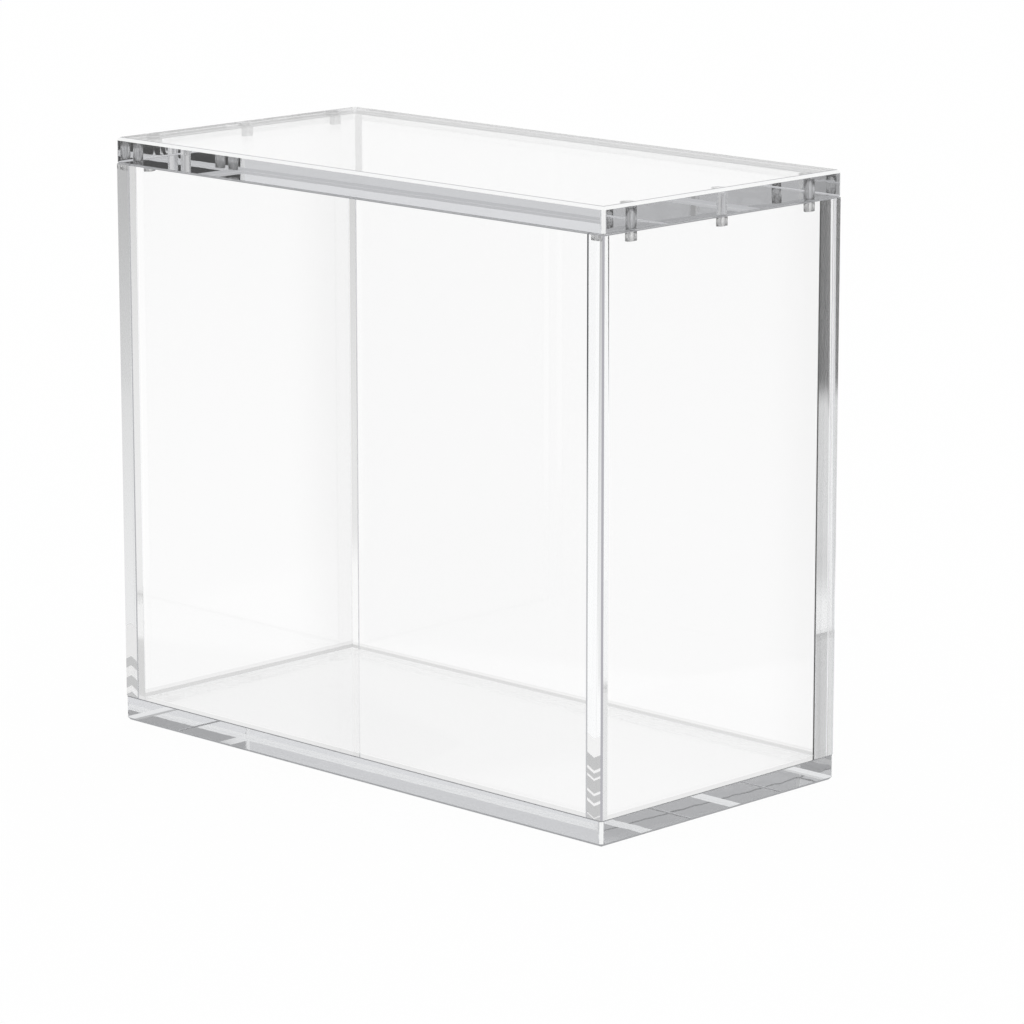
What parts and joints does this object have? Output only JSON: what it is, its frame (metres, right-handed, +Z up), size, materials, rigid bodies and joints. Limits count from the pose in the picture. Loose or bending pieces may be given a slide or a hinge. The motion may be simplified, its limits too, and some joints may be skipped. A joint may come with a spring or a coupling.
{
  "type": "trading card display case",
  "caption": "Clear acrylic box for a boxed card set: bonded thick panels, bevelled polished edges and a flat lift-off lid held by small magnets let into its ends and the side walls.",
  "frame": {"origin": "middle of the footprint, on the surface that the case stands on", "axes": "+X along the large front face, towards the right end panel; +Y from the front face to the back face; +Z up, the way the lid lifts off"},
  "size_m": [0.208, 0.103, 0.187],
  "materials": {
    "acrylic": "polished",
    "nickel": "polished"
  },
  "bodies": {
    "case": {"base_panel": "acrylic", "front_panel": "acrylic", "back_panel": "acrylic", "left_panel": "acrylic", "right_panel": "acrylic", "wall_magnet_left_front": "nickel", "wall_magnet_left_middle": "nickel", "wall_magnet_left_back": "nickel", "wall_magnet_right_front": "nickel", "wall_magnet_right_middle": "nickel", "wall_magnet_right_back": "nickel"},
    "lid": {"lid_panel": "acrylic", "lid_magnet_left_front": "nickel", "lid_magnet_left_middle": "nickel", "lid_magnet_left_back": "nickel", "lid_magnet_right_front": "nickel", "lid_magnet_right_middle": "nickel", "lid_magnet_right_back": "nickel"}
  },
  "joints": [
    {"name": "lid_lift", "type": "slide", "parent": "case", "child": "lid", "axis": [0, 0, 1], "range_m": [0, 0.2]}
  ]
}
